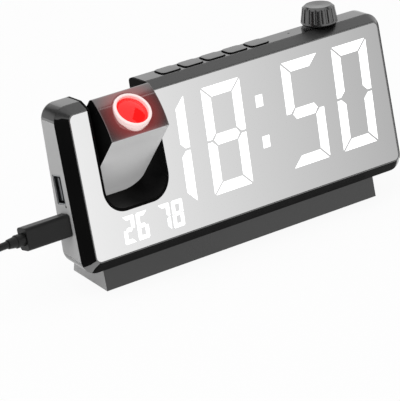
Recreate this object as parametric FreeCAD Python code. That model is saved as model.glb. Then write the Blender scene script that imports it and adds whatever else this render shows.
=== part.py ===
"""Projection alarm clock: a leaning mirror-faced clock on a low stand, with a swivelling projector head.

Everything in the leaning case is drawn upright first: X runs along the clock, Y runs from the mirror
towards the back, Z runs up the mirror from its lower edge. lean_back() then tips it onto the stand.
The stand and the power lead are drawn where they lie. Millimetres, +Z up, origin on the table at the
middle of the stand's footprint, and the mirror faces -Y.
"""
import FreeCAD, Part
import math
import os

os.makedirs("parts", exist_ok=True)
V = FreeCAD.Vector
AXIS_X = V(1, 0, 0)
AXIS_Y = V(0, 1, 0)
AXIS_Z = V(0, 0, 1)

# Case: overall sizes and walls
CASE_LENGTH = 198.0
MIRROR_LENGTH = 187.0
MIRROR_HEIGHT = 71.3
MIRROR_THICK = 1.5
MIRROR_CORNER = 2.6
RIM = 0.5               # width of the edge showing round the mirror
BEVEL_DEPTH = 5.5       # front to parting line
BEVEL_DROP = 5.8        # lower bevel, measured down the front
BEVEL_RISE = 4.3        # upper bevel, measured up the front
CASE_CORNER = 8.0
CASE_DEPTH_LOW = 21.6   # front to back at the foot of the mirror
CASE_DEPTH_HIGH = 17.5  # front to back at the top of the mirror
CASE_WALL = 2.0
BACK_ROUND = 2.0
LEAN = 16.4             # degrees the mirror leans back
TOP_SLOPE = 9.4         # degrees the top rises towards the back, measured square to the mirror
SEAM_GAP = 0.15
LIP_DEPTH = 3.0
LIP_WALL = 1.4
LEDGE = 3.0             # bezel ledge the mirror is glued to

# Projector bay and head
PIVOT_X = -64.2
PIVOT_DEPTH = 10.5
PIVOT_HEIGHT = 51.4
BAY_WIDTH = 35.4
BAY_RADIUS = 31.9
BAY_CORNER = 10.0
BAY_WALL = 1.4
HEAD_WIDTH = 33.0
HEAD_THICK = 23.0
HEAD_SIDE = 19.9        # pivot to the crease between front face and lens face
HEAD_CROWN = 25.3       # pivot to the highest point of the lens face
HEAD_TAIL = 31.0        # pivot to the rounded tail
HEAD_CORNER = 9.0
HEAD_WALL = 1.8
HEAD_TILT = 48.5        # degrees the head leans forward of the mirror
HEAD_SPLIT = 4.6        # parting plane behind the pivot
PIN_RADIUS = 3.0
PIN_RUN_GAP = 0.05
BUSH_WALL = 1.4
BUSH_FLANGE = 0.8
PIN_END = 0.6           # pin showing past its bush
SHROUD_REACH = 8.0      # bay floor carried on behind the back

# Projector optics
RING_RADIUS = 9.4
RING_BORE = 8.8
RING_PROUD = 2.2
RING_OFFSET = -1.0      # ring centre ahead of the pivot
LENS_DOME = 2.0
RING_GAP = 0.3

# Keys, knob and their works
KEY_COUNT = 5
KEY_PITCH = 13.5
KEY_MIDDLE_X = -1.0
KEY_LENGTH = 11.4
KEY_DEPTH = 8.4
KEY_CORNER = 2.4
KEY_PROUD = 0.6
KEY_GAP = 0.35
KEY_TRAVEL = 0.5
KEY_BACKSET = 5.2       # key centre behind the front of the top
KNOB_X = 66.0
KNOB_BACKSET = 5.0
KNOB_BASE_RADIUS = 9.3
KNOB_TOP_RADIUS = 7.9
KNOB_HEIGHT = 9.4
KNOB_LIFT = 0.8
KNOB_FLUTES = 18
SHAFT_RADIUS = 3.0
SHAFT_RUN_GAP = 0.05
MIC_X = 46.6
MIC_RADIUS = 0.6

# Ports on the left end
USB_HEIGHT = 36.5
USB_DEPTH = 12.4
USB_LONG = 13.2
USB_SHORT = 5.7
USB_BODY = 14.0
POWER_HEIGHT = 19.6
POWER_DEPTH = 11.4
POWER_LONG = 9.4
POWER_SHORT = 3.6
PORT_WALL = 0.6
RESET_HEIGHT = 28.4
RESET_DEPTH = 9.2

# Display
DIGIT_LEFTS = (-42.4, -17.5, 30.4, 62.9)
DIGIT_WIDTH = 22.3
FIRST_WIDTH = 14.7      # the first digit is narrower, because the bay takes its place
DIGIT_LOW = 14.8
DIGIT_HEIGHT = 49.9
STROKE = 5.2
SLANT = 0.05
MASK_THICK = 5.0
BOARD_THICK = 1.6

# Stand
STAND_LENGTH = 168.0
STAND_DEPTH = 28.0
STAND_LEAN = 16.5
STAND_WALL = 2.0
STAND_TAIL_HEIGHT = 6.0
STAND_ROUND = 2.0
MIRROR_FOOT_BACK = 6.3  # foot of the mirror ahead of the stand's front edge
MIRROR_FOOT_RISE = 20.9
PAD_RADIUS = 4.0
PAD_THICK = 1.4
PAD_PROUD = 0.4
STAND_SCREW_X = 55.0

# Power lead
PLUG_LENGTH = 24.5
PLUG_TALL = 11.0
PLUG_WIDE = 7.8
RELIEF_LENGTH = 8.5
RELIEF_RADIUS = 3.2
CORD_RADIUS = 1.8
COIL_MEAN_RADIUS = 19.8
COIL_TURNS_WIDE = 4
COIL_TURNS_HIGH = 2
COIL_CENTRE = (-222.0, 21.5)

half_length = CASE_LENGTH / 2
half_mirror = MIRROR_LENGTH / 2
front_y = -STAND_DEPTH / 2
case_top_front = MIRROR_HEIGHT + BEVEL_RISE
case_low_front = -BEVEL_DROP
bottom_slope = math.tan(math.radians(LEAN))
top_slope = math.tan(math.radians(TOP_SLOPE))
back_rate = (CASE_DEPTH_LOW - CASE_DEPTH_HIGH) / MIRROR_HEIGHT


def back_at(height):
    """Depth of the back's outside at a height up the mirror."""
    return CASE_DEPTH_LOW - back_rate * height


def box(x0, x1, y0, y1, z0, z1):
    return Part.makeBox(x1 - x0, y1 - y0, z1 - z0, V(x0, y0, z0))


def cylinder(start, axis, radius, length):
    return Part.makeCylinder(radius, length, start, axis)


def ring(start, axis, outer, inner, length):
    return cylinder(start, axis, outer, length).cut(cylinder(start, axis, inner, length))


def rounded_wire(x0, x1, z0, z1, radius, y):
    """A rectangle with round corners, standing square to Y."""
    k = radius * (1 - math.sqrt(0.5))
    p = [V(x0 + radius, y, z0), V(x1 - radius, y, z0), V(x1, y, z0 + radius), V(x1, y, z1 - radius),
         V(x1 - radius, y, z1), V(x0 + radius, y, z1), V(x0, y, z1 - radius), V(x0, y, z0 + radius)]
    mids = [V(x1 - k, y, z0 + k), V(x1 - k, y, z1 - k), V(x0 + k, y, z1 - k), V(x0 + k, y, z0 + k)]
    edges = []
    for i in range(4):
        edges.append(Part.makeLine(p[2 * i], p[2 * i + 1]))
        edges.append(Part.Arc(p[2 * i + 1], mids[i], p[(2 * i + 2) % 8]).toShape())
    return Part.Wire(edges)


def rounded_slab(x0, x1, z0, z1, radius, y0, y1):
    face = Part.Face(rounded_wire(x0, x1, z0, z1, radius, y0))
    return face.extrude(V(0, y1 - y0, 0))


def profile(points, x0, x1):
    """A closed outline of (depth, height) points pushed along X."""
    pts = [V(x0, y, z) for y, z in points]
    return Part.Face(Part.makePolygon(pts + pts[:1])).extrude(V(x1 - x0, 0, 0))


def fused(shapes):
    whole = shapes[0]
    if len(shapes) > 1:
        whole = whole.fuse(shapes[1:])
    return whole.removeSplitter()


def lean_back(shape):
    """Tips a piece of the upright case back and sets it over the stand."""
    out = shape.copy()
    out.rotate(V(0, 0, 0), AXIS_X, -LEAN)
    out.translate(V(0, front_y - MIRROR_FOOT_BACK, MIRROR_FOOT_RISE))
    return out


def on_top(shape):
    """Takes a piece drawn on a flat top (Y back from its front edge, Z out of it) to the sloping top."""
    out = shape.copy()
    out.rotate(V(0, 0, 0), AXIS_X, TOP_SLOPE)
    out.translate(V(0, BEVEL_DEPTH, case_top_front))
    return out


def with_head(shape):
    """Takes a piece drawn round the pivot, lens end up, to the head's place in the case."""
    out = shape.copy()
    out.rotate(V(0, 0, 0), AXIS_X, HEAD_TILT)
    out.translate(V(PIVOT_X, PIVOT_DEPTH, PIVOT_HEIGHT))
    return out


def save(name, shape, leaning=True):
    done = lean_back(shape) if leaning else shape
    assert done.isValid(), name
    done.exportStep("parts/" + name + ".step")
    print(name, len(done.Solids), round(done.Volume, 1))


def case_section(y, inset):
    """The case's outline at a depth behind the parting line, moved in by a wall."""
    run = y - BEVEL_DEPTH
    return rounded_wire(-half_length + inset, half_length - inset,
                        case_low_front + run * bottom_slope + inset,
                        case_top_front + run * top_slope - inset,
                        CASE_CORNER - inset / 2, y)


def behind_back(inset):
    """Everything behind the back's plane, for cutting the case off."""
    far = CASE_DEPTH_LOW + 40
    reach = 2 * MIRROR_HEIGHT
    return profile([(back_at(-reach) - inset, -reach), (far, -reach), (far, reach),
                    (back_at(reach) - inset, reach)], -half_length - 1, half_length + 1)


def case_block(inset, y_start):
    """The case behind the parting line as a solid, moved in by a wall on every side."""
    body = Part.makeLoft([case_section(y_start, inset), case_section(CASE_DEPTH_LOW + 8, inset)], True, True)
    return body.cut(behind_back(inset))


def on_back_plane(edge):
    return all(abs(v.Point.y - back_at(v.Point.z)) < 0.01 for v in edge.Vertexes)


def wheel(radius, width, corner):
    """A disc about the pivot with rounded rims: the space the head's rounded tail sweeps."""
    disc = Part.makeCylinder(radius, width, V(-width / 2, 0, 0), AXIS_X)
    rims = [e for e in disc.Edges if isinstance(e.Curve, Part.Circle)]
    return disc.makeFillet(corner, rims)


def bay_space(grow):
    """The through slot the head swings in: a rounded scoop below the pivot and straight sides above."""
    scoop = wheel(BAY_RADIUS + grow, BAY_WIDTH + 2 * grow, BAY_CORNER + grow)
    scoop.translate(V(PIVOT_X, PIVOT_DEPTH, PIVOT_HEIGHT))
    side = BAY_WIDTH / 2 + grow
    above = box(PIVOT_X - side, PIVOT_X + side, -60, 80, PIVOT_HEIGHT, 160)
    return scoop.fuse(above)


# Case block, bevel and the shapes cut from them
bevel_block = Part.makeLoft([
    rounded_wire(-half_mirror - RIM, half_mirror + RIM, -RIM, MIRROR_HEIGHT + RIM, MIRROR_CORNER + RIM, 0),
    case_section(BEVEL_DEPTH, 0)], True, True)
rear_block = case_block(0, BEVEL_DEPTH)
back_edges = [e for e in rear_block.Edges if on_back_plane(e)]
rear_block = rear_block.makeFillet(BACK_ROUND, back_edges)
bay_cut = bay_space(BAY_WALL)
bay_hollow = bay_space(0)

# Case screws go through the back into bosses on the bezel
boss_x = half_length - CASE_WALL - SEAM_GAP - 4.0
boss_spots = [(sx * boss_x, z) for sx in (-1, 1) for z in (3.0, MIRROR_HEIGHT - 3.5)]
BOSS_RADIUS = 2.6
SCREW_SHANK = 1.2
SCREW_HEAD = 2.4
SCREW_HEAD_HIGH = 1.6

# Front bezel: bevelled frame, ledge, lip and bosses
bezel = bevel_block.cut(rounded_slab(-half_mirror, half_mirror, 0, MIRROR_HEIGHT, MIRROR_CORNER, -1,
                                     MIRROR_THICK))
bezel = bezel.cut(rounded_slab(-half_mirror + LEDGE, half_mirror - LEDGE, LEDGE, MIRROR_HEIGHT - LEDGE,
                               1.5, -1, BEVEL_DEPTH + 1))
lip_inset = CASE_WALL + SEAM_GAP
lip_end = BEVEL_DEPTH + LIP_DEPTH
lip = Part.makeLoft([case_section(BEVEL_DEPTH, lip_inset), case_section(lip_end, lip_inset)], True, True)
lip = lip.cut(Part.makeLoft([case_section(BEVEL_DEPTH - 1, lip_inset + LIP_WALL),
                             case_section(lip_end + 1, lip_inset + LIP_WALL)], True, True))
port_gap = box(-half_length, -half_length + 12, BEVEL_DEPTH, lip_end + 1, POWER_HEIGHT - 9, USB_HEIGHT + 10)
top_gap = box(KEY_MIDDLE_X - KEY_PITCH * KEY_COUNT / 2, KNOB_X + 12, BEVEL_DEPTH, lip_end + 1,
              case_top_front - 6, case_top_front + 6)
lip = lip.cut(port_gap).cut(top_gap)
bosses = []
pilots = []
for bx, bz in boss_spots:
    boss_end = back_at(bz) - CASE_WALL - SEAM_GAP
    bosses.append(cylinder(V(bx, BEVEL_DEPTH - 1, bz), AXIS_Y, BOSS_RADIUS, boss_end - BEVEL_DEPTH + 1))
    pilots.append(cylinder(V(bx, BEVEL_DEPTH + 2, bz), AXIS_Y, SCREW_SHANK, boss_end))
bezel = fused([bezel, lip] + bosses).cut(Part.makeCompound(pilots)).cut(bay_cut)
save("front_bezel", bezel)

# Mirror: acrylic plate with the U-shaped cut-out for the projector bay
mirror = rounded_slab(-half_mirror + 0.1, half_mirror - 0.1, 0.1, MIRROR_HEIGHT - 0.1, MIRROR_CORNER, 0,
                      MIRROR_THICK)
save("mirror_panel", mirror.cut(bay_cut))

# Projector bay liner: thin U wall with a scooped floor, and bushes for the head's pins
bush_outer = PIN_RADIUS + PIN_RUN_GAP + BUSH_WALL
shroud_zone = box(PIVOT_X - BAY_WIDTH, PIVOT_X + BAY_WIDTH, CASE_DEPTH_HIGH, CASE_DEPTH_LOW + SHROUD_REACH,
                  -60, PIVOT_HEIGHT - BAY_RADIUS / 2)
liner = bay_cut.common(fused([bevel_block, rear_block, shroud_zone])).cut(bay_hollow)
side_in = PIVOT_X - BAY_WIDTH / 2
side_out = PIVOT_X + BAY_WIDTH / 2
bay_axis = V(side_in - BAY_WALL - 1, PIVOT_DEPTH, PIVOT_HEIGHT)
liner = liner.cut(cylinder(bay_axis, AXIS_X, bush_outer, BAY_WIDTH + 2 * BAY_WALL + 2))
save("projector_bay", liner)


def bush(wall_x, way):
    """A flanged bush pressed into a bay wall from behind it; way is +1 when the bay lies towards +X."""
    base_x = wall_x - way * (BAY_WALL + BUSH_FLANGE)
    start = V(base_x, PIVOT_DEPTH, PIVOT_HEIGHT)
    axis = V(way, 0, 0)
    sleeve = cylinder(start, axis, bush_outer, BAY_WALL + BUSH_FLANGE)
    flange = cylinder(start, axis, bush_outer + 1.5, BUSH_FLANGE)
    return fused([sleeve, flange]).cut(cylinder(start, axis, PIN_RADIUS + PIN_RUN_GAP, 10))


save("pivot_bush_left", bush(side_in, 1))
save("pivot_bush_right", bush(side_out, -1))

# Rear housing: walls, key and knob holes, ports, grille, battery bay, screw seats
rear = rear_block.cut(case_block(CASE_WALL, BEVEL_DEPTH - 1)).cut(bay_cut)


def key_x(index):
    return KEY_MIDDLE_X + (index - (KEY_COUNT - 1) / 2) * KEY_PITCH


def key_slab(centre_x, grow, z0, z1):
    half_x = KEY_LENGTH / 2 + grow
    half_y = KEY_DEPTH / 2 + grow
    flat = rounded_slab(centre_x - half_x, centre_x + half_x, -half_y, half_y, KEY_CORNER + grow, 0, z1 - z0)
    flat.rotate(V(0, 0, 0), AXIS_X, 90)
    flat.translate(V(0, KEY_BACKSET, z0))
    return flat


for i in range(KEY_COUNT):
    rear = rear.cut(on_top(key_slab(key_x(i), KEY_GAP, -4 * CASE_WALL, 5)))
encoder_bush_radius = SHAFT_RADIUS + SHAFT_RUN_GAP + 1.2
rear = rear.cut(on_top(cylinder(V(KNOB_X, KNOB_BACKSET, -6), AXIS_Z, encoder_bush_radius, 12)))
rear = rear.cut(on_top(cylinder(V(MIC_X, KEY_BACKSET, -6), AXIS_Z, MIC_RADIUS, 12)))
end_x = -half_length
wall_in = end_x - 1
rear = rear.cut(box(wall_in, end_x + 6, USB_DEPTH - USB_SHORT / 2 - PORT_WALL,
                    USB_DEPTH + USB_SHORT / 2 + PORT_WALL,
                    USB_HEIGHT - USB_LONG / 2 - PORT_WALL, USB_HEIGHT + USB_LONG / 2 + PORT_WALL))
power_hole = box(wall_in, end_x + 6, POWER_DEPTH - POWER_SHORT / 2 - PORT_WALL,
                 POWER_DEPTH + POWER_SHORT / 2 + PORT_WALL,
                 POWER_HEIGHT - POWER_LONG / 2 - PORT_WALL, POWER_HEIGHT + POWER_LONG / 2 + PORT_WALL)
rear = rear.cut(power_hole)
rear = rear.cut(cylinder(V(wall_in, RESET_DEPTH, RESET_HEIGHT), AXIS_X, 0.6, 6))

SPEAKER_X = -14.0
SPEAKER_Z = 38.0
SPEAKER_RADIUS = 14.0
GRILLE_PITCH = 3.2
GRILLE_SLOT = 1.4
grille_rows = int(2 * SPEAKER_RADIUS / GRILLE_PITCH) - 1
slots = []
for row in range(grille_rows):
    rise = (row - (grille_rows - 1) / 2) * GRILLE_PITCH
    half = math.sqrt((SPEAKER_RADIUS - 1.5) ** 2 - rise ** 2)
    z = SPEAKER_Z + rise
    slots.append(rounded_slab(SPEAKER_X - half, SPEAKER_X + half, z - GRILLE_SLOT / 2, z + GRILLE_SLOT / 2,
                              GRILLE_SLOT / 2 - 0.01, back_at(z) - CASE_WALL - 1.5, back_at(z) + 1))
rear = rear.cut(Part.makeCompound(slots))

# Battery bay: a round well let into the back for a coin cell, closed by a flush door
CELL_RADIUS = 10.0
CELL_THICK = 3.2
CELL_X = 62.0
CELL_Z = 34.0
DOOR_RADIUS = 13.0
DOOR_THICK = 1.4
WELL_WALL = 1.2
well_depth = CELL_THICK + DOOR_THICK + 0.6


def on_back(shape):
    """Takes a piece drawn on a flat back (Z up, Y out of it from zero) at the cell to the leaning back."""
    out = shape.copy()
    out.rotate(V(0, 0, 0), AXIS_X, math.degrees(math.atan(back_rate)))
    out.translate(V(CELL_X, back_at(CELL_Z), CELL_Z))
    return out


def back_disc(radius, y0, y1):
    return cylinder(V(0, y0, 0), AXIS_Y, radius, y1 - y0)


well_out = on_back(back_disc(DOOR_RADIUS + WELL_WALL, -well_depth - WELL_WALL, -CASE_WALL / 2))
rear = fused([rear, well_out]).cut(on_back(back_disc(CELL_RADIUS + 0.4, -well_depth, 1)))
rear = rear.cut(on_back(back_disc(DOOR_RADIUS + 0.15, -DOOR_THICK, 1)))
door_ear_x = DOOR_RADIUS + 1.0
ear = cylinder(V(door_ear_x, -DOOR_THICK, 0), AXIS_Y, 3.4, 8)
rear = rear.cut(on_back(ear))
ear_post = on_back(cylinder(V(door_ear_x, -7.0, 0), AXIS_Y, 3.4, 7.0 - CASE_WALL / 2 - 0.5))
rear = fused([rear, ear_post.cut(on_back(back_disc(DOOR_RADIUS + 0.15, -DOOR_THICK, 1))).cut(
    on_back(back_disc(CELL_RADIUS + 0.4, -well_depth, 1))).cut(on_back(ear))])
rear = rear.cut(on_back(cylinder(V(door_ear_x, -6.0, 0), AXIS_Y, 0.8, 8)))
for bx, bz in boss_spots:
    outside = back_at(bz)
    rear = rear.cut(cylinder(V(bx, outside - CASE_WALL - 1, bz), AXIS_Y, SCREW_SHANK + 0.2, 6))
    rear = rear.cut(cylinder(V(bx, outside - 1.0, bz), AXIS_Y, SCREW_HEAD + 0.3, 6))

# Feet of the case: threaded posts for the stand's screws, and board posts
post_y = 16.0
for sx in (-1, 1):
    floor_z = case_low_front + (post_y - BEVEL_DEPTH) * bottom_slope
    post = cylinder(V(sx * STAND_SCREW_X, post_y, floor_z + 0.6), AXIS_Z, 2.4, 7)
    post.rotate(V(sx * STAND_SCREW_X, post_y, floor_z), AXIS_X, LEAN)
    pilot = cylinder(V(sx * STAND_SCREW_X, post_y, floor_z - 2), AXIS_Z, 1.0, 9.0)
    pilot.rotate(V(sx * STAND_SCREW_X, post_y, floor_z), AXIS_X, LEAN)
    rear = fused([rear, post]).cut(pilot)
BOARD_X0 = 4.0
BOARD_X1 = 46.0
BOARD_Z0 = 12.0
BOARD_Z1 = 60.0
mask_front = MIRROR_THICK + 0.1
mask_back = mask_front + MASK_THICK
board_back = mask_back + 0.1 + BOARD_THICK
main_board_y = board_back + 2.4
for px in (BOARD_X0 + 3, BOARD_X1 - 3):
    for pz in (BOARD_Z0 + 3, BOARD_Z1 - 3):
        top = back_at(pz) - CASE_WALL / 2
        start = main_board_y + BOARD_THICK
        rear = rear.fuse(cylinder(V(px, start, pz), AXIS_Y, 1.8, top - start))
rear = rear.removeSplitter()
save("rear_housing", rear)

screws = []
for bx, bz in boss_spots:
    seat = back_at(bz) - 1.0
    head = cylinder(V(bx, seat, bz), AXIS_Y, SCREW_HEAD, SCREW_HEAD_HIGH - 0.8)
    shank = cylinder(V(bx, seat - 7, bz), AXIS_Y, SCREW_SHANK - 0.03, 7)
    slot = box(bx - SCREW_HEAD, bx + SCREW_HEAD, seat + 0.3, seat + 2, bz - 0.3, bz + 0.3)
    cross = box(bx - 0.3, bx + 0.3, seat + 0.3, seat + 2, bz - SCREW_HEAD, bz + SCREW_HEAD)
    screws.append(fused([head, shank]).cut(slot).cut(cross))
save("case_screws", Part.makeCompound(screws))

# Battery door, its screw, the coin cell and its contact
door = fused([on_back(back_disc(DOOR_RADIUS, -DOOR_THICK, -0.05)),
              on_back(cylinder(V(door_ear_x, -DOOR_THICK, 0), AXIS_Y, 3.2, DOOR_THICK - 0.05))])
door = door.cut(on_back(cylinder(V(door_ear_x, -4, 0), AXIS_Y, 1.0, 8)))
door = door.cut(on_back(cylinder(V(door_ear_x, -0.75, 0), AXIS_Y, 1.95, 3)))
coin_slot = on_back(box(-4.5, 4.5, -0.6, 1, -0.7, 0.7))
save("battery_door", door.cut(coin_slot))
door_screw = fused([cylinder(V(door_ear_x, -5.0, 0), AXIS_Y, 0.8, 4.3),
                    cylinder(V(door_ear_x, -0.75, 0), AXIS_Y, 1.8, 0.65)])
door_screw = door_screw.cut(box(door_ear_x - 2, door_ear_x + 2, -0.4, 1, -0.25, 0.25))
save("door_screw", on_back(door_screw))
cell_face = -DOOR_THICK - 0.1
save("coin_cell", on_back(fused([back_disc(CELL_RADIUS, cell_face - CELL_THICK + 0.4, cell_face),
                                 back_disc(CELL_RADIUS - 1.2, cell_face - CELL_THICK, cell_face)])))
save("cell_contact", on_back(back_disc(3.0, -well_depth, cell_face - CELL_THICK - 0.05)))


# Display: segment mask with light wells, board, and the lit windows
def stroke_bar(ax, az, bx, bz, width, y0, y1):
    """A segment between two points with pointed ends, as in a seven-bar digit."""
    dx, dz = bx - ax, bz - az
    size = math.hypot(dx, dz)
    ux, uz = dx / size, dz / size
    h = width / 2
    nx, nz = -uz * h, ux * h
    pts = [(ax, az), (ax + ux * h + nx, az + uz * h + nz), (bx - ux * h + nx, bz - uz * h + nz), (bx, bz),
           (bx - ux * h - nx, bz - uz * h - nz), (ax + ux * h - nx, az + uz * h - nz)]
    face = Part.Face(Part.makePolygon([V(x, y0, z) for x, z in pts + pts[:1]]))
    return face.extrude(V(0, y1 - y0, 0))


def digit_bars(left, low, width, high, stroke, y0, y1):
    """The seven bars of one slanted digit."""
    gap = 0.35
    h = stroke / 2

    def at(u, w):
        z = low + w
        return left + u + (w - high) * SLANT, z
    cols = (h, width - h)
    rows = (h, high / 2, high - h)
    bars = []
    for row in rows:
        a = at(cols[0] + gap, row)
        b = at(cols[1] - gap, row)
        bars.append(stroke_bar(a[0], a[1], b[0], b[1], stroke, y0, y1))
    for col in cols:
        for k in (0, 1):
            a = at(col, rows[k] + gap)
            b = at(col, rows[k + 1] - gap)
            bars.append(stroke_bar(a[0], a[1], b[0], b[1], stroke, y0, y1))
    return bars


def colon_dots(x, y0, y1):
    return [cylinder(V(x + s * SLANT, y0, DIGIT_LOW + s), AXIS_Y, STROKE / 2, y1 - y0)
            for s in (DIGIT_HEIGHT * 0.3, DIGIT_HEIGHT * 0.72)]


SMALL_LEFTS = (-77.5, -68.5, -58.0, -49.0)
SMALL_LOW = 4.6
SMALL_HEIGHT = 12.0
SMALL_WIDTH = 7.0
SMALL_STROKE = 1.6
COLON_X = 13.6


def display_bars(y0, y1):
    bars = []
    for left in DIGIT_LEFTS:
        wide = FIRST_WIDTH if left == DIGIT_LEFTS[0] else DIGIT_WIDTH
        bars += digit_bars(left, DIGIT_LOW, wide, DIGIT_HEIGHT, STROKE, y0, y1)
    for left in SMALL_LEFTS:
        bars += digit_bars(left, SMALL_LOW, SMALL_WIDTH, SMALL_HEIGHT, SMALL_STROKE, y0, y1)
    return bars + colon_dots(COLON_X, y0, y1)


def display_plate(y0, y1, inset):
    """The L-shaped area right of the projector bay and under it."""
    right = half_mirror - LEDGE - 2.2 - inset
    bay_right = side_out + BAY_WALL + BUSH_FLANGE + PIN_END + 0.5
    tall = box(bay_right, right, y0, y1, LEDGE + 0.3 + inset, MIRROR_HEIGHT - LEDGE - 0.3 - inset)
    low = box(-half_mirror + LEDGE + 4, bay_right + 1, y0, y1, LEDGE + 0.3 + inset,
              PIVOT_HEIGHT - BAY_RADIUS - BAY_WALL - 0.5)
    return fused([tall, low])


mask = display_plate(mask_front, mask_back, 0).cut(Part.makeCompound(display_bars(mask_front - 1,
                                                                                  mask_back + 1)))
save("segment_mask", mask)
save("segment_windows", Part.makeCompound(display_bars(mask_front, mask_front + 1.0)))
display_board = display_plate(mask_back + 0.1, board_back, 0.5)
save("display_board", display_board)

# Main board with its parts, carried on the rear posts
parts_on_board = [box(BOARD_X0 + 14, BOARD_X0 + 26, main_board_y - 1.4, main_board_y, 30, 42),
                  box(BOARD_X0 + 30, BOARD_X0 + 36, main_board_y - 1.8, main_board_y, 20, 28)]
main_board = fused([box(BOARD_X0, BOARD_X1, main_board_y, main_board_y + BOARD_THICK, BOARD_Z0, BOARD_Z1)]
                   + parts_on_board)
save("main_board", main_board)

# Speaker on the inside of the grille
speaker_back = back_at(SPEAKER_Z + SPEAKER_RADIUS) - CASE_WALL - 0.1
speaker = fused([cylinder(V(SPEAKER_X, speaker_back - 2.0, SPEAKER_Z), AXIS_Y, SPEAKER_RADIUS, 2.0),
                 cylinder(V(SPEAKER_X, speaker_back - 4.4, SPEAKER_Z), AXIS_Y, SPEAKER_RADIUS * 0.55, 3.0)])
save("speaker", speaker)


# Sockets at the left end, on one small board
def socket(height, depth, long, short, length):
    """A folded metal shell, open at the end of the case."""
    shell = box(end_x + 0.2, end_x + length, depth - short / 2 - PORT_WALL + 0.05,
                depth + short / 2 + PORT_WALL - 0.05,
                height - long / 2 - PORT_WALL + 0.05, height + long / 2 + PORT_WALL - 0.05)
    return shell.cut(box(end_x - 1, end_x + length - 1.0, depth - short / 2, depth + short / 2,
                         height - long / 2, height + long / 2))


usb = socket(USB_HEIGHT, USB_DEPTH, USB_LONG, USB_SHORT, USB_BODY)
tongue = box(end_x + 1.4, end_x + USB_BODY - 1, USB_DEPTH + 0.35, USB_DEPTH + 2.2, USB_HEIGHT - 5.6,
             USB_HEIGHT + 5.6)
save("usb_socket", fused([usb, tongue]))
POWER_BODY = 9.0
save("power_socket", socket(POWER_HEIGHT, POWER_DEPTH, POWER_LONG, POWER_SHORT, POWER_BODY))
port_board_y = USB_DEPTH + USB_SHORT / 2 + PORT_WALL
port_board = box(end_x + CASE_WALL + 0.4, end_x + 15, port_board_y, port_board_y + 1.2, POWER_HEIGHT - 7,
                 USB_HEIGHT + 9)
save("port_board", port_board)

# Keys: caps with a flange below the top and a short stem over the switch
switch_top = -CASE_WALL - 3.0
for i in range(KEY_COUNT):
    cap = key_slab(key_x(i), 0, -CASE_WALL + 0.2, KEY_PROUD)
    rim = [e for e in cap.Edges if all(abs(v.Point.z - KEY_PROUD) < 1e-6 for v in e.Vertexes)]
    cap = cap.makeFillet(0.4, rim)
    stem = cylinder(V(key_x(i), KEY_BACKSET, switch_top + KEY_TRAVEL + 0.2), AXIS_Z, 1.6,
                    -CASE_WALL + 0.4 - switch_top - KEY_TRAVEL)
    save("key_" + str(i + 1), on_top(fused([cap, stem])))
switch_high = 2.0
switches = [box(key_x(i) - 3, key_x(i) + 3, KEY_BACKSET - 3, KEY_BACKSET + 3, switch_top - switch_high,
                switch_top)
            for i in range(KEY_COUNT)]
save("key_switches", on_top(Part.makeCompound(switches)))
key_board = box(key_x(0) - 8, key_x(KEY_COUNT - 1) + 8, 2.0, KEY_BACKSET + 3.2,
                switch_top - switch_high - 1.2, switch_top - switch_high)
save("key_board", on_top(key_board))

# Knob on its encoder
knob_at = V(KNOB_X, KNOB_BACKSET, 0)
knob_outline = [V(0, 0, KNOB_LIFT), V(KNOB_BASE_RADIUS - 0.6, 0, KNOB_LIFT),
                V(KNOB_BASE_RADIUS, 0, KNOB_LIFT + 0.8), V(KNOB_TOP_RADIUS + 0.25, 0,
                                                           KNOB_LIFT + KNOB_HEIGHT - 1.2),
                V(KNOB_TOP_RADIUS - 1.2, 0, KNOB_LIFT + KNOB_HEIGHT), V(0, 0, KNOB_LIFT + KNOB_HEIGHT - 0.5)]
knob = Part.Face(Part.makePolygon(knob_outline + knob_outline[:1])).revolve(V(0, 0, 0), AXIS_Z, 360)
lean_in = math.degrees(math.atan2(KNOB_BASE_RADIUS - KNOB_TOP_RADIUS, KNOB_HEIGHT))
flutes = []
for i in range(KNOB_FLUTES):
    flute = cylinder(V(KNOB_BASE_RADIUS + 0.45, 0, KNOB_LIFT + 1.6), AXIS_Z, 0.95, KNOB_HEIGHT)
    flute.rotate(V(KNOB_BASE_RADIUS, 0, KNOB_LIFT), AXIS_Y, -lean_in)
    flute.rotate(V(0, 0, 0), AXIS_Z, i * 360 / KNOB_FLUTES)
    flutes.append(flute)
knob = knob.cut(Part.makeCompound(flutes))
shaft_top = KNOB_LIFT + KNOB_HEIGHT - 2.5
knob = knob.cut(cylinder(V(0, 0, -1), AXIS_Z, SHAFT_RADIUS, shaft_top + 1))
knob.translate(knob_at)
save("volume_knob", on_top(knob))
SHAFT_FOOT = -6.0
save("encoder_shaft", on_top(cylinder(knob_at + V(0, 0, SHAFT_FOOT), AXIS_Z, SHAFT_RADIUS,
                                      shaft_top - SHAFT_FOOT)))
collar = ring(knob_at + V(0, 0, -CASE_WALL - 0.2), AXIS_Z, encoder_bush_radius - 0.02,
              SHAFT_RADIUS + SHAFT_RUN_GAP, CASE_WALL + 0.5)
can = box(KNOB_X - 6, KNOB_X + 6, KNOB_BACKSET - 4.4, KNOB_BACKSET + 3.6, SHAFT_FOOT - 1.4, -CASE_WALL - 0.2)
can = can.cut(cylinder(knob_at + V(0, 0, SHAFT_FOOT - 0.1), AXIS_Z, SHAFT_RADIUS + SHAFT_RUN_GAP, 12))
save("encoder_body", on_top(fused([collar, can])))


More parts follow.
